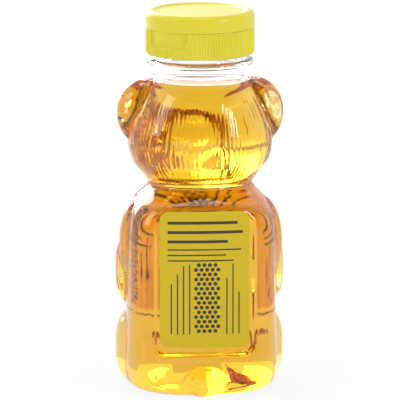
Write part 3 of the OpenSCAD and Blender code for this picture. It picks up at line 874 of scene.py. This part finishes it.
def ribbed_base(settings):
    """Skirt with its ribs, thumb recess and thread, deck, rim, plug seal and spout."""
    low, deck, top = BASE_LOW[2], LID_LOW[2] - 0.1, BASE_HIGH[2]
    deck_low = WASHER_HIGH[2]
    inner_rows = [(SKIRT_IN, z, 0) for z in row_heights(deck_low - 0.6, low + 0.4, 0.4)]
    outer_rows = [(RIB_CREST, z, 0) for z in row_heights(low + 0.9, deck - 0.45, 0.34)]
    outline = rounded_path(
        [(SPOUT_R, deck_low, 0.15), (SEAL_R - 1, deck_low, 0.3), (SEAL_R - 1, LIP - 3, 0.1),
         (SEAL_R - 0.5, LIP - 3, 0.1), (SEAL_R, LIP - 2.5, 0.2), (SEAL_R, deck_low, 0.3),
         (SKIRT_IN, deck_low, 0.3)] + inner_rows
        + [(SKIRT_IN, low, 0.15), (RIB_CREST - 0.95, low, 0.2), (RIB_CREST - 0.3, low + 0.25, 0.25)]
        + outer_rows
        + [(RIB_CREST - 0.02, deck - 0.33, 0), (LID_HIGH[0] - 0.06, deck - 0.28, 0.04),
           (LID_HIGH[0] - 0.06, deck, 0.08),
           (LID_IN - 0.2, deck, 0.1), (LID_IN - 0.2, deck + 1, 0.25),
           (LID_IN - 1.1, deck + 1, 0.25), (LID_IN - 1.1, deck, 0.3), (SPOUT_R + 3.3, deck, 1.0),
           (SPOUT_R + 1.4, top, 0.5), (SPOUT_R, top, 0.45)], True)
    base = turned("ribbed_base", outline, 4 * settings.ribs)
    p = points_of(base)
    r, z = np.hypot(p[:, 0], p[:, 1]), p[:, 2]
    angle = np.arctan2(p[:, 1], p[:, 0])
    skirt = (r > SKIRT_IN + 0.3) & (z > low + 0.2) & (z < deck - 0.34)
    rib = 0.5 + 0.5 * np.cos(settings.ribs * angle)
    depth = RIB_DEPTH * (1 - rib ** 0.7) * step(low + 0.2, low + 0.9, z)
    turn = (np.degrees(angle) - THUMB_ANGLE + 180) % 360 - 180
    across = np.abs(np.radians(turn) * RIB_CREST)
    qx = np.maximum(across - THUMB_HALF + THUMB_R, 0)
    qz = np.maximum((deck - z) - THUMB_H + THUMB_R, 0)
    dent = 1 - step(-0.35, 0.25, np.hypot(qx, qz) - THUMB_R)
    depth = depth * (1 - dent) + dent * THUMB_DEPTH
    land = (r > SKIRT_IN + 0.9) & (z >= deck - 0.34) & (z < deck + 0.02)
    new_r = np.where(skirt, r - depth, np.where(land, r - LAND_DEPTH * dent, r))
    inside = (np.abs(r - SKIRT_IN) < 0.02) & (z < deck_low - 0.5)
    off, turns = wound_past(angle, z, THREAD_LOW - PITCH / 2)
    first, last = CAP_TURNS
    ends = step(first, first + 0.07, turns) * (1 - step(last, last + 0.07, turns))
    new_r = np.where(inside, r - CAP_THREAD * (1 - step(0.4, 1.1, off)) * ends, new_r)
    scale = new_r / np.maximum(r, 1e-6)
    p[:, 0] *= scale
    p[:, 1] *= scale
    move_points(base, p)
    lug = block("lug", (BASE_LUG_R, deck - BASE_LUG_DROP), BASE_LUG, THUMB_ANGLE + 180, LUG_EDGE)
    joined(base, lug)
    settle(base, "ribbed_base")
    smooth(base, 38)
    return base


def dished_lid():
    """Lid with its dish, rounded edge, ceiling and the plug that shuts the spout."""
    low, top = LID_LOW[2], LID_HIGH[2]
    r = LID_HIGH[0]
    ceiling = top - 1.8
    dish = top - DISH_DEPTH
    spout_top = BASE_HIGH[2]
    plug = SPOUT_R - 0.15
    arc = [(r - LID_EDGE + LID_EDGE * math.cos(a), top - LID_EDGE + LID_EDGE * math.sin(a), 0)
           for a in np.radians(np.linspace(0, 84, 11))]
    outline = rounded_path(
        [(0, spout_top - 1.7, 0), (plug - 0.5, spout_top - 1.7, 0.3), (plug, spout_top, 0.3),
         (plug, ceiling, 0.3), (LID_IN - 1.2, ceiling, 0.8), (LID_IN, ceiling - 1.2, 0.8),
         (LID_IN, low, 0.12), (r, low, 0.15)] + arc
        + [(r - 2.75, top, 0.35), (r - 3.9, dish + 0.04, 0.6), (9, dish, 0), (0, dish, 0)], False)
    lid = turned("dished_lid", outline, 240, closed=False)
    lug = block("lug", (LID_LUG_R, low + LID_LUG_RISE), LID_LUG, THUMB_ANGLE + 180, LUG_EDGE)
    joined(lid, lug)
    settle(lid, "dished_lid")
    smooth(lid, 38)
    return lid


def hinge_web():
    """Thin web round the fold between the lugs, in steps."""
    turn = math.radians(THUMB_ANGLE + 180)
    c, s = math.cos(turn), math.sin(turn)
    width = (WEB_HIGH[0] - WEB_LOW[0] - (WEB_HIGH[1] - WEB_LOW[1])) / (abs(s) - abs(c))
    out_r = (-WEB_LOW[0] - width / 2 * abs(s)) / abs(c)
    root_r = (-WEB_HIGH[0] + width / 2 * abs(s)) / abs(c)
    middle, half = (WEB_LOW[2] + WEB_HIGH[2]) / 2, (WEB_HIGH[2] - WEB_LOW[2]) / 2
    rise = half - WEB_THICK / 2
    fold = out_r - WEB_THICK / 2
    bend = [(fold - rise + rise * math.cos(a), rise * math.sin(a))
            for a in np.linspace(-math.pi / 2, math.pi / 2, 13)]
    path = np.array([(root_r, -rise)] + bend + [(root_r, rise)])
    along = np.gradient(path, axis=0)
    along /= np.linalg.norm(along, axis=1, keepdims=True)
    aside = np.stack([along[:, 1], -along[:, 0]], axis=1) * WEB_THICK / 2
    edge = np.concatenate([path + aside, (path - aside)[::-1]])
    n, rows = len(edge), len(path)
    points = [(u * c - t * s, u * s + t * c, middle + w)
              for t in (-width / 2, width / 2) for u, w in edge]
    faces = [(i, (i + 1) % n, n + (i + 1) % n, n + i) for i in range(n)]
    for i in range(rows - 1):
        faces.append((i + 1, i, n - 1 - i, n - 2 - i))
        faces.append((n + i, n + i + 1, 2 * n - 2 - i, 2 * n - 1 - i))
    web = mesh_object("hinge_web", points, faces)
    only(web)
    bpy.ops.object.mode_set(mode="EDIT")
    bpy.ops.mesh.select_all(action="SELECT")
    bpy.ops.mesh.normals_make_consistent(inside=False)
    bpy.ops.object.mode_set(mode="OBJECT")
    settle(web, "hinge_web")
    smooth(web, 50)
    place = (out_r * c * MM, out_r * s * MM)
    start, end = place + ((middle - rise) * MM,), place + ((middle + rise) * MM,)
    return web, start, end


class HONEYBEAR_OT_closure(bpy.types.Operator):
    """Ribbed skirt, dished lid, film hinge and foam washer"""
    bl_idname = "honeybear.closure"
    bl_label = "Closure"

    def execute(self, context):
        settings = context.scene.honeybear_closure
        plastic = closure_plastic("closure_plastic", settings)
        pieces = (
            (ribbed_base(settings), "closure_base", "closure"),
            (dished_lid(), "flip_lid", "lid"),
        )
        for ob, node, body in pieces:
            wear(ob, plastic)
            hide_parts(node)
            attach(ob, body)
        web, start, end = hinge_web()
        wear(web, plastic)
        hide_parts("film_hinge")
        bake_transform(web)
        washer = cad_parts["sealing_washer"]
        wear(washer, washer_foam(settings))
        return {"FINISHED"}


# Studio: strength of the even light, of what mirrors see behind the camera, and how much of the
# floor glows for the camera and for rays through or off the bottle
FILL, ROOM = 0.5, 0.08
FLOOR_SEEN, FLOOR_THROUGH = 0.9, 0.35

# Lamps: name, place and size in metres, power in watts. They all point at one place
LAMPS = [
    ("lamp_right", (-0.75, 0.75, 0.42), (0.16, 0.6), 3.4),
    ("lamp_left", (0.95, 0.35, 0.5), (0.4, 0.7), 2.6),
    ("lamp_top", (0.05, 0.1, 1.1), (0.5, 0.5), 1.6),
    ("lamp_front", (0.35, -1.0, 0.5), (0.8, 0.8), 10.0),
]
LAMP_AIM = (0, 0, 0.08)

# Light crosses the wall and the honey many times before it leaves the bottle
BOUNCES = 40


class HONEYBEAR_OT_stage(bpy.types.Operator):
    """Pale floor, white surroundings, soft lamps and the camera"""
    bl_idname = "honeybear.stage"
    bl_label = "Stage"

    def execute(self, context):
        settings = context.scene.honeybear_stage
        scene = context.scene
        scene.view_settings.view_transform = "Standard"
        scene.cycles.max_bounces = BOUNCES
        scene.cycles.transmission_bounces = BOUNCES
        scene.cycles.glossy_bounces = 12
        clear_selection()
        bpy.ops.mesh.primitive_plane_add(size=6, location=(0, 0, 0))
        floor = context.object
        floor.name = "floor"
        sh = Shader("floor")
        seen = FLOOR_SEEN * sh.ray("Camera") + FLOOR_THROUGH * sh.ray("Glossy", "Transmission")
        card = sh.node("ShaderNodeBsdfDiffuse", None, {"Color": (0.86, 0.86, 0.85, 1)})
        glow = sh.node("ShaderNodeEmission", None, {"Color": WHITE, "Strength": 1.0})
        both = sh.node("ShaderNodeMixShader", None, {0: seen, 1: card, 2: glow})
        sh.feed(sh.out.inputs["Surface"], both)
        wear(floor, sh.material)

        sky = Shader("studio", world=True)
        scene.world = sky.material
        seen = sky.ray("Camera", "Transmission")
        y = sky.axes(sky.node("ShaderNodeTexCoord"))[1]
        room = sky.node("ShaderNodeMapRange", None, {
            "Value": y, "From Min": 0.6, "From Max": -0.2, "To Min": ROOM})
        strength = FILL + (1 - FILL) * seen + sky.ray("Glossy") * (room - FILL)
        back = sky.node("ShaderNodeBackground", None, {"Color": WHITE, "Strength": strength})
        sky.feed(sky.out.inputs["Surface"], back)

        for name, place, size, power in LAMPS:
            light = bpy.data.lights.new(name, "AREA")
            light.shape = "RECTANGLE"
            light.size, light.size_y = size
            light.energy = power
            lamp = bpy.data.objects.new(name, light)
            lamp.location = place
            aim = Vector(LAMP_AIM) - Vector(place)
            lamp.rotation_euler = aim.to_track_quat("-Z", "Y").to_euler()
            scene.collection.objects.link(lamp)

        az, el = math.radians(settings.azimuth), math.radians(settings.elevation)
        away = Vector((math.sin(az) * math.cos(el), -math.cos(az) * math.cos(el), math.sin(el)))
        camera = bpy.data.cameras.new("camera")
        camera.sensor_fit = "HORIZONTAL"
        camera.lens = camera.sensor_width * settings.distance / settings.view_height
        camera.clip_end = 20
        eye = bpy.data.objects.new("camera", camera)
        eye.location = Vector((0, 0, settings.aim_z)) + away * settings.distance
        eye.rotation_euler = (-away).to_track_quat("-Z", "Y").to_euler()
        scene.collection.objects.link(eye)
        scene.camera = eye
        return {"FINISHED"}


class HONEYBEAR_PT_panel(bpy.types.Panel):
    """The bottle's pieces"""
    bl_idname = "HONEYBEAR_PT_panel"
    bl_label = "Honey bear bottle"
    bl_space_type = "VIEW_3D"
    bl_region_type = "UI"
    bl_category = "Honey Bear"

    def draw(self, context):
        for group, operator in STEPS:
            box = self.layout.box()
            settings = getattr(context.scene, group)
            for key in settings.bl_rna.properties.keys():
                if key not in ("rna_type", "name"):
                    box.prop(settings, key)
            box.operator(operator)


GROUPS = {
    "honeybear_bear": BearSettings, "honeybear_honey": HoneySettings,
    "honeybear_labels": LabelSettings, "honeybear_closure": ClosureSettings,
    "honeybear_stage": StageSettings,
}
STEPS = [
    ("honeybear_bear", "honeybear.bottle"), ("honeybear_honey", "honeybear.honey"),
    ("honeybear_labels", "honeybear.labels"), ("honeybear_closure", "honeybear.closure"),
    ("honeybear_stage", "honeybear.stage"),
]
CLASSES = list(GROUPS.values()) + [
    HONEYBEAR_OT_bottle, HONEYBEAR_OT_honey, HONEYBEAR_OT_labels, HONEYBEAR_OT_closure,
    HONEYBEAR_OT_stage, HONEYBEAR_PT_panel,
]


def register():
    """Register the classes and hang their settings on the scene."""
    for cls in CLASSES:
        bpy.utils.register_class(cls)
    for name, cls in GROUPS.items():
        setattr(bpy.types.Scene, name, PointerProperty(type=cls))


def unregister():
    """Take away what register added."""
    for name in GROUPS:
        delattr(bpy.types.Scene, name)
    for cls in reversed(CLASSES):
        bpy.utils.unregister_class(cls)


def main():
    """Make every piece and the stage."""
    register()
    clear_selection()
    for _, operator in STEPS:
        group, name = operator.split(".")
        getattr(getattr(bpy.ops, group), name)()


if __name__ == "__main__":
    main()
